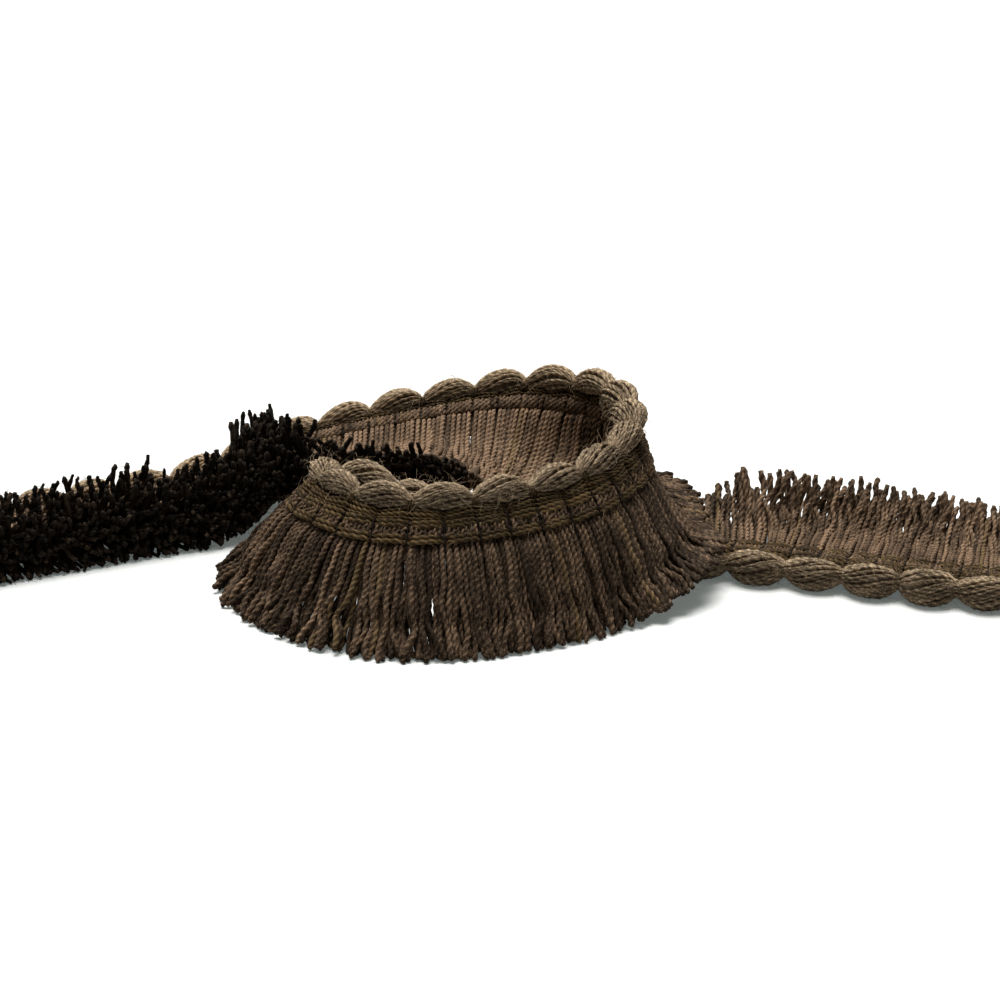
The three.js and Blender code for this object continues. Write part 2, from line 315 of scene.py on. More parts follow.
tape_top = 1.8
tape_width = 10.0
tape_half = 0.28
tape_ripple = 0.12
tape_columns = 520
tape_levels = 9
tape_steps = np.linspace(first_tie * 0.5, trim_length - first_tie * 0.5, tape_columns)
tape_rows = np.linspace(tape_top, tape_top + tape_width, tape_levels)
ripple = tape_ripple * np.sin(2 * np.pi * (tape_steps - first_tie) / wale)[:, None]
tape_left = trim_point(tape_steps[:, None], tape_rows[None, :], ripple + tape_half)
tape_right = trim_point(tape_steps[:, None], tape_rows[None, :], ripple - tape_half)
tape_points = np.stack([tape_left, tape_right], 0)
tape_index = np.arange(tape_points[..., 0].size).reshape(tape_points.shape[:-1])
left_index, right_index = tape_index


def grid_faces(index):
    corners = [index[:-1, :-1], index[1:, :-1], index[1:, 1:], index[:-1, 1:]]
    return np.stack(corners, -1).reshape(-1, 4)


rim = np.concatenate([
    tape_index[:, :, 0], tape_index[:, -1, 1:], tape_index[:, ::-1, -1][:, 1:],
    tape_index[:, 0, ::-1][:, 1:],
], axis=1)
rim_faces = np.stack([rim[0, :-1], rim[1, :-1], rim[1, 1:], rim[0, 1:]], -1)
tape_material, tape_shader, flow = new_material("tape_thread", 0.95)
place = flow.node("ShaderNodeTexCoord", {}, {}, 3)
knit = flow.noise(place, 1400.0)
tape_colour = knit.mix((0.022, 0.014, 0.008, 1), (0.070, 0.046, 0.027, 1))
tape_bump = flow.node("ShaderNodeBump", {}, {"Strength": 0.6, "Distance": 0.0002, "Height": knit})
tape_material.node_tree.links.new(tape_colour.out, tape_shader.inputs["Base Color"])
tape_material.node_tree.links.new(tape_bump.out, tape_shader.inputs["Normal"])
tape = new_piece(
    "ground_tape",
    tape_points.reshape(-1, 3),
    [grid_faces(left_index)[:, ::-1], grid_faces(right_index), rim_faces],
    tape_material,
)

# The heading cords. Two-ply olive cotton runs along both faces of the tape: three thin strands
# under the picots, then a pair of cords above and a pair below a row where the brush yarn shows.
# Every 5.4 mm the knitting thread draws all of them in.
wales = first_tie + wale * np.arange(2 * picot_count + 1)
noise_source = np.random.default_rng(7)


def tubes(centres, radius, side, sides, lobe=0.0, turn=1, start=None, values=None, tip=None):
    """Closed tubes, one for each row of centres. side is a direction that no strand runs along.
    lobe raises plies that wind by a corner from ring to ring: every third corner on three or
    six sides, every other one on four. Returns points, faces, caps, values and the shape."""
    count, rings = centres.shape[:2]
    along = np.gradient(centres, axis=1)
    along /= np.linalg.norm(along, axis=-1, keepdims=True)
    first = side - (side * along).sum(-1, keepdims=True) * along
    first /= np.linalg.norm(first, axis=-1, keepdims=True)
    second = np.cross(along, first)
    corner = np.arange(sides)
    angle = 2 * np.pi * corner / sides
    begin = np.zeros(count) if start is None else start
    step = corner[None, None, :] - turn * np.arange(rings)[None, :, None] + begin[:, None, None]
    ply = np.cos(2 * np.pi * step / (2 if sides == 4 else 3))
    reach = radius[..., None] * (1 + lobe * ply)
    points = (
        centres[:, :, None, :]
        + (reach * np.cos(angle))[..., None] * first[:, :, None, :]
        + (reach * np.sin(angle))[..., None] * second[:, :, None, :]
    )
    shape = (count, rings, sides)
    index = np.arange(count * rings * sides).reshape(shape)
    ahead = np.roll(index, -1, axis=2)
    walls = np.stack([index[:, :-1], ahead[:, :-1], ahead[:, 1:], index[:, 1:]], -1).reshape(-1, 4)
    caps = np.concatenate([index[:, 0, ::-1], index[:, -1]])
    # groove darkens the colour between the plies as painted shade and sinks the bump there; smooth
    # tubes get an even share of that painted shade.
    even_groove_shade = 0.45
    groove = np.clip(0.5 - 0.5 * ply, 0, 1) if lobe else even_groove_shade
    made = {"groove": np.broadcast_to(groove, shape)}
    for key, value in (values or {}).items():
        made[key] = np.broadcast_to(value.reshape(value.shape + (1,) * (3 - value.ndim)), shape)
    made["tip"] = np.zeros(shape) if tip is None else np.broadcast_to(tip[..., None], shape)
    made = {key: value.ravel() for key, value in made.items()}
    return points.reshape(-1, 3), walls, caps, made, shape


def strip_uv(groups):
    """A strip of the texture for every strand of every group, in columns, with its end caps."""
    strands = sum(shape[0] for *_, shape in groups)
    columns = max(1, round(math.sqrt(strands / 5)))
    rows = math.ceil(strands / columns)
    walls_uv, caps_uv, number = [], [], 0
    for *_, (count, rings, sides) in groups:
        strand = number + np.arange(count)
        number += count
        u0 = (strand % columns) / columns
        v0 = (strand // columns) / rows
        ring = np.arange(rings - 1)
        corner = np.arange(sides)
        du = np.array([0, 0, 1, 1])
        dv = np.array([0, 1, 1, 0])
        u = u0[:, None, None, None] + 0.9 / columns * (ring[None, :, None, None] + du) / (rings - 1)
        v = v0[:, None, None, None] + 0.9 / rows * (corner[None, None, :, None] + dv) / sides
        u = np.broadcast_to(u, (count, rings - 1, sides, 4))
        v = np.broadcast_to(v, (count, rings - 1, sides, 4))
        walls_uv.append(np.stack([u, v], -1).reshape(-1, 2))
        turn = 2 * np.pi * corner / sides
        for place in (0.925, 0.965):
            u = u0[:, None] + (place + 0.014 * np.cos(turn)) / columns
            v = v0[:, None] + (0.45 + 0.40 * np.sin(turn)) / rows
            caps_uv.append(np.stack([u, v], -1).reshape(-1, 2))
    return walls_uv, caps_uv


def yarn_piece(name, groups, material):
    """One mesh object from several groups of tubes."""
    points, faces, uv, total = [], [], [], 0
    walls_uv, caps_uv = strip_uv(groups)
    for (place, walls, caps, *_), on_walls, in_caps in zip(
        groups, walls_uv, zip(caps_uv[::2], caps_uv[1::2])
    ):
        points.append(place)
        faces += [walls + total, caps + total]
        uv += [on_walls, *in_caps]
        total += len(place)
    values = {key: np.concatenate([g[3][key] for g in groups]) for key in groups[0][3]}
    return new_piece(name, np.concatenate(points), faces, material, values, np.concatenate(uv))


def yarn_material(name, dark, light, tip_colour, fleck_colour, sheen):
    """Spun cotton: painted shade between the plies, uneven from strand to strand and along the
    fibre.
    """
    material, shader, flow = new_material(name, 0.72)
    place = flow.node("ShaderNodeTexCoord", {}, {}, 3)
    fibre = flow.noise(place, 2600.0, 3.0)
    patch = flow.noise(place, 260.0, 2.0)
    shade = flow.attribute("shade")
    speckle = flow.noise(place, 6500.0, 1.0)
    amount = flow.node(
        "ShaderNodeClamp", {},
        {"Value": 0.75 * shade + 1.6 * fibre + 1.0 * speckle + 0.9 * patch - 1.70},
    )
    colour = amount.mix(dark, light)
    colour = (flow.attribute("fleck") * 0.55).mix(colour, fleck_colour)
    groove = flow.attribute("groove")
    # Painted shade: the grooves between the plies are mixed towards a much darker copy of the dark
    # colour.
    groove_shade_colour = (dark[0] * 0.30, dark[1] * 0.26, dark[2] * 0.22, 1)
    colour = (groove ** 1.1 * 0.90).mix(colour, groove_shade_colour)
    # The tip attribute mixes in tip_colour: the darker look of cut ends with painted shade, at the
    # dark ends and in the picot core.
    colour = flow.attribute("tip").mix(colour, tip_colour)
    height = fibre * 0.8 + speckle * 0.4 - groove * 0.9
    bump = flow.node("ShaderNodeBump", {}, {"Strength": 0.8, "Distance": 0.00014, "Height": height})
    material.node_tree.links.new(colour.out, shader.inputs["Base Color"])
    material.node_tree.links.new(bump.out, shader.inputs["Normal"])
    shader.inputs["Sheen Weight"].default_value = sheen
    shader.inputs["Sheen Roughness"].default_value = 0.45
    shader.inputs["Sheen Tint"].default_value = (0.72, 0.64, 0.55, 1)
    return material


cord_yarn = yarn_material(
    "cord_yarn",
    dark=(0.030, 0.018, 0.0065, 1),
    light=(0.235, 0.150, 0.062, 1),
    tip_colour=(0.02, 0.014, 0.01, 1),
    fleck_colour=(0.16, 0.11, 0.06, 1),
    sheen=0.05,
)


def near_wale(distance, width):
    """1 at a stitch line, falling to 0 between two of them."""
    off = (distance - first_tie + wale / 2) % wale - wale / 2
    return np.exp(-(off / width) ** 2)


def near_tie(distance):
    """1 at a tie between two picots, 0 at the middle of a picot."""
    place = ((distance - first_tie) % picot_pitch) / picot_pitch
    return 1 - np.abs(np.sin(np.pi * place)) ** 0.8


cord_rows = {
    # below the heading's top, out, radius, rise at the ties, sides, ring spacing
    1: (
        (0.34, 1.32, 0.38, 1.15, 4, 0.52),
        (0.96, 1.46, 0.40, 0.70, 4, 0.52),
        (1.52, 1.36, 0.32, 0.30, 4, 0.52),
        (2.18, 1.36, 0.46, 0.0, 6, 0.42),
        (2.98, 1.32, 0.46, 0.0, 6, 0.42),
        (5.02, 1.32, 0.46, 0.0, 6, 0.42),
        (5.84, 1.36, 0.46, 0.0, 6, 0.42),
    ),
    -1: (
        (0.30, 1.28, 0.36, 1.15, 4, 0.52),
        (0.92, 1.30, 0.34, 0.60, 4, 0.52),
        (3.62, 0.98, 0.26, 0.0, 4, 0.52),
    ),
}
cord_lobe = 0.16
cord_ends = first_tie * 0.6
cord_slope = 0.34
cord_drift = 0.06
cord_bulge = 0.13
pinch_width = 0.62
pinch_depth = 0.58
pinch_thins = 0.22
drift_stops = np.linspace(0, trim_length, 78)
cord_groups = []
cord_lines = []
for face in (-1, 1):
    for below, out, thick, rise, sides, spacing in cord_rows[face]:
        distance = np.arange(cord_ends, trim_length - cord_ends, spacing)
        wander = noise_source.normal(0, 1, (2, len(drift_stops)))
        drift = np.interp(distance, drift_stops, wander[0])
        skew = ((distance - first_tie) % wale) / wale - 0.5
        pinch = near_wale(distance, pinch_width)
        level = heading_top + below - rise * near_tie(distance)
        level = level + cord_slope * face * skew * (1 - pinch) + cord_drift * drift
        bulge = cord_bulge * np.cos(2 * np.pi * skew)
        lift = face * (out + bulge - pinch_depth * pinch - 0.15 * rise * near_tie(distance))
        centres = trim_point(distance, level, lift)[None]
        where = lie(distance)
        side = out_at(where, where["heading"])[None]
        radius = thick * (1 - pinch_thins * pinch)[None]
        shade = 0.5 + 0.22 * np.interp(distance, drift_stops, wander[1])
        if sides == 6:
            cord_lines.append((centres[0], side[0]))
        cord_groups.append(
            tubes(
                centres, radius, side, sides, cord_lobe, face,
                values={"shade": shade[None], "fleck": np.zeros((1, len(distance)))},
            )
        )
cord_centres = np.stack([centres for centres, _ in cord_lines])
cord_out = np.stack([side for _, side in cord_lines])
cords = yarn_piece("heading_cords", cord_groups, cord_yarn)
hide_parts("heading_band")

# The window yarns. The brush yarn passes up through the heading. On the right face it shows only
# between the two pairs of cords. On the reverse it covers the lower heading, in a band that a
# thread draws in, and goes on below it as the outer layer of the brush.
window_per_wale = 7
windows = {
    # face: radius, shade, levels below the heading's top, distances out
    1: (0.46, 0.36, (3.05, 3.55, 4.0, 4.5, 5.0), (1.04, 1.20, 1.24, 1.20, 1.04)),
    -1: (
        0.50, 0.42,
        (0.95, 1.4, 1.9, 2.4, 2.9, 3.3, 3.75),
        (0.75, 1.1, 1.24, 1.3, 1.24, 1.05, 0.7),
    ),
}
reverse_pinch = 3.65
window_sway = 0.14
window_fleck_share = 0.04


def yarn_places(start, stop, per_wale):
    """Distances of yarns that stand in bunches between the stitch lines, and their bunches."""
    first = math.ceil((start - first_tie) / wale - 0.01)
    last = math.floor((stop - first_tie) / wale + 0.01)
    bunch = np.repeat(np.arange(first, last), per_wale)
    offset = np.tile((np.arange(per_wale) + 0.5) / per_wale - 0.5, last - first)
    return first_tie + (bunch + 0.5) * wale, offset * wale, bunch


window_groups = []
for face, (thick, paleness, levels, outs) in windows.items():
    bunch_at, bunch_off, _ = yarn_places(
        first_tie, first_tie + picot_count * picot_pitch, window_per_wale
    )
    level = heading_top + np.array(levels)
    rings = len(level)
    sway = noise_source.normal(0, window_sway, (len(bunch_at), 1)) * np.linspace(-1, 1, rings)
    gather = 0.90 + 0.06 * np.cos(2 * np.pi * np.linspace(0, 1, rings))
    distance = bunch_at + bunch_off * 0.9
    spread = bunch_at[:, None] + bunch_off[:, None] * gather + sway
    lift = np.array(outs) + noise_source.normal(0, 0.05, (len(bunch_at), 1))
    centres = trim_point(spread, level[None, :], face * lift)
    side = lie(distance)["travel"][:, None, :]
    radius = np.full(centres.shape[:2], thick)
    window_groups.append(
        tubes(
            centres, radius, side, 4, 0.16, 1, np.arange(len(distance)) % 2,
            {
                "shade": noise_source.normal(paleness, 0.18, len(distance)),
                "fleck": (noise_source.random(len(distance)) < window_fleck_share) * 1.0,
            },
        )
    )
brush_yarn = yarn_material(
    "brush_yarn",
    dark=(0.042, 0.027, 0.0155, 1),
    light=(0.500, 0.325, 0.202, 1),
    # tip_colour is the near black of the darkened cut ends: their own darker look, with painted
    # shade.
    tip_colour=(0.0028, 0.0022, 0.0015, 1),
    fleck_colour=(0.32, 0.215, 0.095, 1),
    sheen=0.05,
)
window_piece = yarn_piece("window_yarns", window_groups, brush_yarn)

# The knitting stitches. At every stitch line a dark thread wraps the heading on both faces and
# draws the cords down into a groove.
stitch_rings = 9
stitch_radius = 0.17
stitch_wobble = 0.10
reverse_sink = 0.25
over_cords = {
    # distance out of the thread at levels below the heading's top
    "level": [1.7, 2.16, 2.55, 2.94, 4.0, 5.02, 5.4, 5.8, 6.6],
    "out": [0.9, 1.36, 1.2, 1.34, 0.95, 1.34, 1.2, 1.38, 0.9],
}
stitch_groups = []
for face in (-1, 1):
    inner = wales[1:-1]
    lowest = heading_depth + 0.25 if face == 1 else reverse_pinch + 0.3
    level = heading_top + np.linspace(1.7 if face == 1 else 0.9, lowest, stitch_rings)
    swell = np.interp(level - heading_top, over_cords["level"], over_cords["out"])
    swell = swell - (reverse_sink if face == -1 else 0)
    wobble = noise_source.normal(0, stitch_wobble, (len(inner), stitch_rings))
    centres = trim_point(inner[:, None] + wobble, level[None, :], face * swell[None, :])
    side = lie(inner)["travel"][:, None, :]
    stitch_groups.append(
        tubes(
            centres, np.full(centres.shape[:2], stitch_radius), side, 4, 0.12, 1,
            values={
                "shade": noise_source.normal(0.3, 0.15, len(inner)),
                "fleck": np.zeros(len(inner)),
            },
        )
    )
stitch_yarn = yarn_material(
    "stitch_yarn",
    dark=(0.014, 0.009, 0.006, 1),
    light=(0.050, 0.034, 0.022, 1),
    tip_colour=(0.01, 0.007, 0.005, 1),
    fleck_colour=(0.05, 0.035, 0.02, 1),
    sheen=0.05,
)
stitches = yarn_piece("knitting_stitches", stitch_groups, stitch_yarn)

# The picots. A soft skein of grey-brown yarn lies along the upper edge, tied down every 10.8 mm,
# so that it swells into a plump oval between each two ties. The skein has a slight twist.
picot_strands = 34
picot_spacing = 0.53
strand_radius = 0.375
skein_twist = 0.115
tied_share = 0.26
roundness = 0.50
strand_sway = 0.026
strand_uneven = 0.035
sway_tint = 3.5
# Painted light: how much lighter the picots at the back of the loop are painted.
painted_back_light = 0.34
tie_low = 1.15
distance = np.arange(first_tie * 0.75, trim_length - first_tie * 0.75, picot_spacing)
place = ((distance - first_tie) % picot_pitch) / picot_pitch
number = np.clip(((distance - first_tie) // picot_pitch).astype(int), 0, picot_count - 1)
plump = noise_source.normal(1.0, 0.04, picot_count)[number]
swell = (tied_share + (1 - tied_share) * np.abs(np.sin(np.pi * place)) ** roundness) * plump
swell = np.convolve(np.pad(swell, 1, mode="edge"), [0.2, 0.6, 0.2], mode="valid")
drawn = tie_low * near_tie(distance)
strand = np.arange(picot_strands)[:, None]
sway = noise_source.normal(0, strand_sway, (picot_strands, picot_count + 2))
sway_at = np.linspace(0, trim_length, picot_count + 2)
wander = np.stack([np.interp(distance, sway_at, s) for s in sway])
winding = 2 * np.pi * (strand / picot_strands + wander)
winding = winding + skein_twist * (distance - first_tie)[None, :]
uneven = noise_source.normal(0, strand_uneven, (picot_strands, picot_count + 2))
uneven = np.stack([np.interp(distance, sway_at, s) for s in uneven])
depth = 1 - 0.05 * (strand % 3 == 1) + uneven
high = ((picot_half_height + 0.20) * swell - strand_radius * 0.9) * depth
thick = ((picot_half_thickness + 0.10) * swell - strand_radius * 0.9) * depth
below = drawn[None, :] - 0.1 - high * np.cos(winding)
out = thick * np.sin(winding)
centres = trim_point(np.broadcast_to(distance, winding.shape), below, out)
centres[..., 2] = np.maximum(centres[..., 2], strand_radius + 0.02)
radius = strand_radius * (0.68 + 0.34 * swell)[None, :] * np.ones((picot_strands, 1))
picot_strand_centres = centres
skein_axis = trim_point(distance, drawn, 0.0)[None]
spoke = centres - skein_axis
# Where the picots get painted light: 0 up to 8 mm back in y, 1 from 30 mm on.
painted_back_light_mask = np.interp(skein_axis[..., 1], (8, 30), (0, 1))
strand_shade = noise_source.normal(0.45, 0.13, (picot_strands, 1))
strand_shade = strand_shade + sway_tint * wander + painted_back_light * painted_back_light_mask
picot_groups = [
    tubes(
        centres, radius, spoke, 3, 0.20, 1, np.arange(picot_strands) % 3,
        {"shade": strand_shade, "fleck": np.zeros(picot_strands)},
    )
]
# The core. A darker tube fills the inside of the skein, its shade low and its colour mixed a little
# towards the near-black tip colour: painted shade in the cracks between the strands.
core_step = 2
core_share = 0.93
core = distance[::core_step]
core_radius = (swell[::core_step] * picot_half_height * core_share)[None]
core_where = lie(core)
picot_groups.append(
    tubes(
        trim_point(core, drawn[::core_step], 0.0)[None], core_radius,
        out_at(core_where, core_where["heading"])[None], 6, 0.0, 1,
        values={"shade": np.full((1, len(core)), 0.2), "fleck": np.zeros((1, len(core)))},
        tip=np.full((1, len(core)), 0.15),
    )
)
picot_yarn = yarn_material(
    "picot_yarn",
    dark=(0.135, 0.098, 0.060, 1),
    light=(0.880, 0.670, 0.440, 1),
    tip_colour=(0.0028, 0.0022, 0.0015, 1),
    fleck_colour=(0.50, 0.36, 0.17, 1),
    sheen=0.05,
)
picots = yarn_piece("picot_yarns", picot_groups, picot_yarn)
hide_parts("picot_edge")

# The picot ties. Three turns of thin olive thread hold the skein down at each tie. They go over
# it and back through the top of the heading, a little askew.
tie_turns = np.array([-0.42, 0.0, 0.42])
tie_rings = 15
ties = first_tie + picot_pitch * np.arange(0, picot_count + 1)
tie_at = (ties[:, None] + tie_turns[None, :]).ravel()
turn = np.linspace(0, 2 * np.pi, tie_rings)
tie_share = 0.41
tie_high = picot_half_height * tie_share
tie_thick = picot_half_thickness * tie_share
tie_radius = 0.24
below = tie_low + 0.35 - (tie_high + 0.42) * np.cos(turn)
out = (tie_thick + 0.12) * np.sin(turn)
lean = noise_source.normal(0, 0.10, (len(tie_at), 1)) + 0.22 * np.cos(turn)[None, :]
centres = trim_point(tie_at[:, None] + lean, below[None, :], out[None, :])
side = lie(tie_at)["travel"][:, None, :]
tie_groups = [
    tubes(
        centres, np.full(centres.shape[:2], tie_radius), side, 4, 0.15, 1,
        values={
            "shade": noise_source.normal(0.35, 0.15, len(tie_at)),
            "fleck": np.zeros(len(tie_at)),
        },
    )
]
tie_piece = yarn_piece("picot_ties", tie_groups, cord_yarn)

# The brush. Two-ply yarn, 1.1 mm thick, is caught between the cords and cut straight across
# 31 mm below the top of the picots. It stands in bunches of five or six between the stitch
# lines, many layers deep, bends under its weight and bears on the table or the trim beneath.
root_thickness = 3.6
lock_top = 10.95
lock_length = 17.65
bend_share = 0.42
settle = 2.4
lying_from = 0.88
lying_at = 1.1
yarn_radius = 0.53
brush_parts = [
    # node, first and last picot, side, layers, dark ends (how far the cut ends are darkened, partly
    # painted shade)
    ("left_end", 0, 4, -1, 10, 1.0),
    ("left_rise", 4, 8, -1, 10, 1.0),
    ("back_left", 8, 11, -1, 8, 1.0),
    ("back_right", 11, 13.5, -1, 6, 0.55),
    ("turn_right", 13.5, 16.5, 1, 5, 0.15),
    ("front_right", 16.5, 19.5, 1, 5, 0.15),
    ("front_left", 19.5, 22.5, 1, 5, 0.15),
    ("hairpin_front", 22.5, 24, 1, 5, 0.15),
    ("hairpin_back", 24, 25.5, 1, 5, 0.4),
    ("inside_loop", 25.5, 28.5, 1, 4, 0.4),
    ("under_skirt", 28.5, 31.5, 1, 4, 0.4),
    ("right_middle", 31.5, 35, 1, 5, 0.3),
    ("right_end", 35, 38, 1, 5, 0.3),
]


def smoothstep(value, low, high):
    t = np.clip((value - low) / (high - low), 0, 1)
    return t * t * (3 - 2 * t)


root_start = (-0.13, 0.08)


def brush_point(distance, side, layer, share, length, radius, start=root_start):
    """A point of the brush. layer is 0 at its lowest face and 1 at its highest. share is 0 at
    the roots and 1 at the cut ends, and below 0 it runs up into the heading. start is where
    the layers begin and end to spread."""
    where = lie(distance)
    spread = 0.42 + 0.58 * smoothstep(share, *start)
    across = (layer - 0.5) * (root_thickness - 2 * radius) * side * spread
    root = trim_point(distance, lock_top, across)
    lowest = trim_point(distance, lock_top, -0.5 * root_thickness * side)
    reach = lock_length * np.cos(where["slant"])
    drop = np.clip((lowest[..., 2] - where["rest"]) / reach, -1, 1)
    lying = smoothstep(np.arccos(drop), lying_from, lying_at)
    lean = side * (np.arccos(drop) + where["fan"] * layer)
    drift = where["travel"] * np.sin(where["slant"])[..., None]
    level = np.cos(where["slant"])[..., None]
    first = down_at(where, where["heading"]) * level + drift
    last = down_at(where, lean) * level + drift
    s = np.clip(share, 0, 1)[..., None]
    first_reach = first * (bend_share * length)[..., None]
    last_reach = last * length[..., None]
    point = root + 2 * s * (1 - s) * first_reach + s * s * last_reach
    point = point + down_at(where, where["heading"]) * (np.minimum(share, 0) * length)[..., None]
    least = where["rest"] + lying * root_thickness * layer + radius
    settled = np.maximum(least, point[..., 2] - settle * s[..., 0])
    point[..., 2] = np.where(share > 0, settled, np.maximum(point[..., 2], radius))
    return point


bunch_count = 2 * picot_count
bunch_source = np.random.default_rng(23)
bunch_waist = bunch_source.normal(0.73, 0.07, bunch_count)
bunch_tips = bunch_source.normal(1.0, 0.05, bunch_count)
bunch_open = bunch_source.random(bunch_count) < 0.25
with_next = (0.25, 0.5, 0.25)
bunch_drift = np.convolve(bunch_source.normal(0, 0.42, bunch_count), with_next, "same")
bunch_lean = np.convolve(bunch_source.normal(0, 0.60, bunch_count), with_next, "same")
bunch_shade = bunch_source.normal(0, 0.07, bunch_count)
reverse_start = (heading_top + reverse_pinch - lock_top) / lock_length
top_share = np.concatenate([np.linspace(-0.12, 0.965, 50), [0.985, 1.0]])
reverse_share = np.concatenate([np.linspace(reverse_start, 0.965, 57), [0.985, 1.0]])
second_share = np.concatenate([np.linspace(-0.12, 0.955, 26), [0.98, 1.0]])
inner_share = np.concatenate([np.linspace(-0.12, 0.93, 9), [0.975, 1.0]])
fibre_ends = []
surface = []
yarn_lobe = 0.17
kink_at = 0.69
kink_width = 0.10
kink_dip = 0.22
root_hold = 0.92
end_scatter = 0.34
kink_scatter = 0.16
stray_share = 0.05
tail_thinness = 0.86
most_fan = 1.70
spread_parts = ("turn_right", "front_right", "front_left", "hairpin_front")
plain_parts = ("left_end", "left_rise", "inside_loop", "under_skirt")
# Painted light and shade by part: the front of the skirt is painted darker, as if in its own shade,
# and the back fringe and the right tail are painted lighter, as if lit from above.
painted_light_by_part = {
    "turn_right": -0.30, "front_right": -0.31, "front_left": -0.34, "hairpin_front": -0.36,
    "back_left": 0.42, "back_right": 0.42, "right_middle": 0.12, "right_end": 0.12,
}
raised_fan = {"left_end": 0.60, "left_rise": 0.22, "inside_loop": 0.38}
longer = {"inside_loop": 1.16, "hairpin_back": 1.12}
for order, (name, first, last, side_sign, layers, dark) in enumerate(brush_parts):
    source = np.random.default_rng(100 + order)
    on_tail = name.startswith("right")
    pile = dark > 0.9
    at, off, bunch = yarn_places(
        first_tie + first * picot_pitch, first_tie + last * picot_pitch,
        6 if name in spread_parts or on_tail else 5,
    )
    groups = []
    for layer_number in range(layers):
        count = len(at)
        outermost = layer_number == layers - 1
        on_reverse = outermost if side_sign == -1 else layer_number == 0
        if outermost and name not in plain_parts:
            share, sides, lobe = (reverse_share if on_reverse else top_share), 6, yarn_lobe
        elif layer_number in (0, layers - 2, layers - 1):
            share, sides, lobe = second_share, 4, yarn_lobe
            if on_reverse:
                share = np.concatenate([[reverse_start, -0.2, -0.15], share])
        else:
            share, sides, lobe = inner_share, 4, 0.0
        layer = (layer_number / (layers - 1)) ** (0.5 if on_tail else 1.0)
        layer = layer + source.normal(0, 0.40 / layers, count)
        layer = np.clip(layer, 0, 1)[:, None]
        uneven = 0.36 if pile else 0.45 if dark < 0.35 else 0.26
        length = lock_length - 0.4 + np.clip(source.normal(0, uneven, count), -0.9, 0.9)
        stray = source.random(count)
        strays = source.uniform(0.4, 1.3, count) * uneven * 2
        length = length + np.where(stray < stray_share, strays, 0)
        length = length[:, None] * longer.get(name, 1.0) * np.ones(len(share))
        s = share[None, :] * np.ones((count, 1))
        rise = np.clip(s, 0, 1)
        phase = source.uniform(0, 2 * np.pi, (2, count, 1))
        splay = source.normal(0, 1, (2, count, 1)) * (0.7 if pile else 0.12)
        wave_length = source.uniform(7, 13, (count, 1))
        wave = np.sin(2 * np.pi * s * lock_length / wave_length + phase[0])
        wave_out = np.sin(2 * np.pi * s * lock_length / wave_length * 1.3 + phase[1])
        wave_height = 0.10 + (0.60 if side_sign == -1 or on_tail else 0.28) * rise ** 2
        if name in spread_parts:
            bunched = np.where(outermost, 1.0, np.where(bunch_open[bunch], 0.7, -0.1))[:, None]
        else:
            bunched = -0.2 if not outermost or on_tail else 0.35
        waist = 1 + (bunch_waist[bunch][:, None] - 1) * bunched
        hold = root_hold + (waist - root_hold) * smoothstep(rise, 0.12, 0.66)
        hold = hold + (bunch_tips[bunch][:, None] - waist) * smoothstep(rise, 0.70, 0.93)
        kink = np.exp(-((rise - kink_at) / kink_width) ** 2)
        wander = source.normal(0, 0.20, (count, 1)) + (layer_number % 2 - 0.5) * 0.5
        distance = (
            at[:, None] + off[:, None] * hold + wander * (0.35 + 0.65 * rise)
            + bunch_drift[bunch][:, None] * rise ** 1.5
            + bunch_lean[bunch][:, None] * kink
            + source.normal(0, end_scatter, (count, 1)) * rise ** 2
            + source.normal(0, kink_scatter, (count, 1)) * kink
            + wave_height * wave * smoothstep(rise, 0, 0.4)
            + splay[0] * smoothstep(rise, 0.7, 1.0) ** 2
        )
        layer_at = layer + 0.05 * wave_out * smoothstep(rise, 0.05, 0.4)
        if name in spread_parts:
            layer_at = layer_at - kink_dip * kink * (0.4 + 0.6 * layer)
        layer_at = layer_at + 0.10 * splay[1] * smoothstep(rise, 0.7, 1.0) ** 2
        layer_at = layer_at + raised_fan.get(name, 0) * layer ** 1.5 * smoothstep(rise, 0.05, 0.6)
        layer_at = np.clip(layer_at, 0, most_fan)
        flare = 1 - 0.10 * kink + 0.12 * smoothstep(s, 0.80, 0.965)
        flare = flare - 0.30 * smoothstep(s, 0.975, 1.0)
        radius = yarn_radius * (tail_thinness if on_tail else 1.0) * flare
        radius = radius * (0.80 + 0.20 * smoothstep(s, -0.05, 0.2))
        radius = radius * source.normal(1, 0.07, (count, 1))
        if pile:
            frayed = source.uniform(0.6, 1.0, (count, 1))
            radius = radius * (1 - (1 - frayed) * smoothstep(s, 0.80, 1.0))
        start = (reverse_start - 0.01, reverse_start + 0.07) if on_reverse else root_start
        centres = brush_point(distance, side_sign, layer_at, s, length, radius, start)
        side = lie(at)["travel"][:, None, :]
        # The ends darken towards tip_colour. In the pile, the last two fifths of each yarn are
        # painted near black. This is painted shade of the crowded pile over the darker look of cut
        # ends seen end-on. Elsewhere only the cut end darkens, by the part's dark ends value,
        # partly with painted shade.
        if pile:
            tip = smoothstep(s, 0.60, 0.90) * np.where(source.random((count, 1)) < 0.3, 0.80, 0.93)
        else:
            tip = dark * smoothstep(s, 0.955, 1.0)
        varied = 0.36 if side_sign == -1 else 0.24
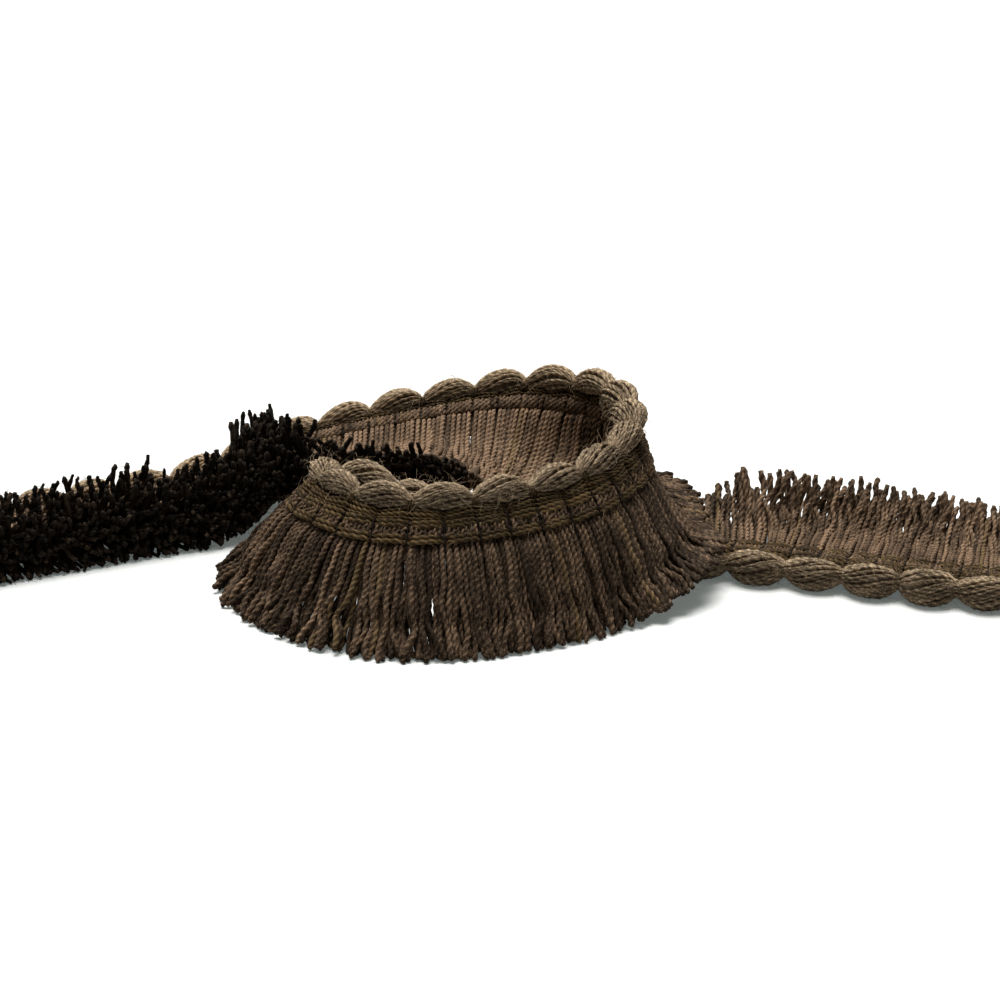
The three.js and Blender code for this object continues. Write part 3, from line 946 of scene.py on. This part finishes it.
        # Each yarn's random tone, plus its bunch's, plus the painted light or shade of its part.
        shade = source.normal(0.5, varied, count) + bunch_shade[bunch] + painted_light_by_part.get(name, 0)
        fleck = (source.random(count) < (0.07 if side_sign == -1 else 0.035)) * 1.0
        if outermost:
            raised = brush_point(distance, side_sign, layer_at + 0.2, s, length, radius) - centres
            surface.append((name, centres, raised))
        groups.append(
            tubes(
                centres, radius, side, sides, lobe, 1, source.integers(0, 3, count),
                {"shade": shade, "fleck": fleck}, tip,
            )
        )
        if dark > 0.5:
            fibre_ends.append((centres[:, -1], centres[:, -1] - centres[:, -4], side[:, 0]))
    yarns = yarn_piece(f"brush_{name}_yarns", groups, brush_yarn)
    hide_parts(f"brush_{name}")

# The fuzz. Loose fibres stand off the spun yarn everywhere: long curled ones on the soft picots,
# short ones along the cords and the brush, and a burst of them at every dark cut end.
fuzz_source = np.random.default_rng(5)
hair_steps = np.linspace(0, 1, 4)


def unit(vectors):
    return vectors / np.maximum(np.linalg.norm(vectors, axis=-1, keepdims=True), 1e-9)


def hairs(origin, outward, along, length, lift, thickness, shade):
    """Fine curved fibres from the points origin. They leave sideways and lift off the surface."""
    count = len(origin)
    outward = unit(outward)
    along = unit(along - (along * outward).sum(-1, keepdims=True) * outward)
    across = np.cross(outward, along)
    angle = fuzz_source.uniform(0, 2 * np.pi, (count, 1))
    ahead = along * np.cos(angle) + across * np.sin(angle)
    aside = np.cross(outward, ahead)
    size = (length * fuzz_source.uniform(0.4, 1.6, count))[:, None, None]
    height = (lift * np.abs(fuzz_source.normal(0.5, 0.6, count)))[:, None, None]
    curl = fuzz_source.normal(0, 0.45, (count, 1, 1))
    arch = fuzz_source.uniform(0.5, 1.0, (count, 1, 1))
    step = hair_steps[None, :, None]
    centres = (
        origin[:, None] + ahead[:, None] * size * step + aside[:, None] * size * curl * step ** 2
        + outward[:, None] * (height * np.sin(np.pi * arch * step) - 0.1)
    )
    centres[..., 2] = np.maximum(centres[..., 2], 0.05)
    radius = thickness * (1 - 0.6 * hair_steps)[None] * np.ones((count, 1))
    tone = fuzz_source.normal(shade, 0.2, count)
    values = {"shade": tone, "fleck": np.zeros(count)}
    return tubes(centres, radius, outward[:, None], 3, values=values)


def fuzz_from(centres, outward, count, depth, **look):
    """Hairs from random places of rows of centres, at a depth just under their strands' skin."""
    row = fuzz_source.integers(0, centres.shape[0], count)
    column = fuzz_source.integers(1, centres.shape[1] - 1, count)
    away = unit(outward[row, column])
    origin = centres[row, column] + away * depth
    along = centres[row, column + 1] - centres[row, column - 1]
    return hairs(origin, away, along, **look)


picot_hairs = fuzz_from(
    picot_strand_centres, spoke, 2300, 0.25, length=3.0, lift=1.3, thickness=0.036, shade=0.95,
)
cord_hairs = fuzz_from(
    cord_centres, cord_out, 600, 0.35, length=2.2, lift=0.8, thickness=0.026, shade=0.6,
)
picot_fuzz = yarn_piece("picot_fuzz", [picot_hairs, cord_hairs], picot_yarn)

hairs_per_yarn = 8
brush_hairs = []
for name, centres, raised in surface:
    if name in spread_parts or name.startswith(("back", "right")):
        brush_hairs.append(
            fuzz_from(
                centres, raised, hairs_per_yarn * len(centres), 0.4,
                length=1.9, lift=0.45, thickness=0.022, shade=0.75,
            )
        )
brush_fuzz = yarn_piece("brush_fuzz", brush_hairs, brush_yarn)

# A near-black copy of the brush yarn for the fibres at the dark cut ends: the painted shade of the
# pile.
shaded_end_yarn = yarn_material(
    "shaded_end_yarn",
    dark=(0.012, 0.008, 0.0055, 1),
    light=(0.105, 0.064, 0.044, 1),
    tip_colour=(0.003, 0.002, 0.0015, 1),
    fleck_colour=(0.1, 0.06, 0.04, 1),
    sheen=0.03,
)
hairs_per_end = 2
end_hairs = []
for ends, ahead, across in fibre_ends:
    for _ in range(hairs_per_end):
        spread = unit(ahead) + fuzz_source.normal(0, 0.55, ends.shape)
        end_hairs.append(
            hairs(
                ends - unit(ahead) * 0.5, np.cross(spread, across), spread,
                length=1.3, lift=0.3, thickness=0.055, shade=0.6,
            )
        )
end_fuzz = yarn_piece("end_fuzz", end_hairs, shaded_end_yarn)
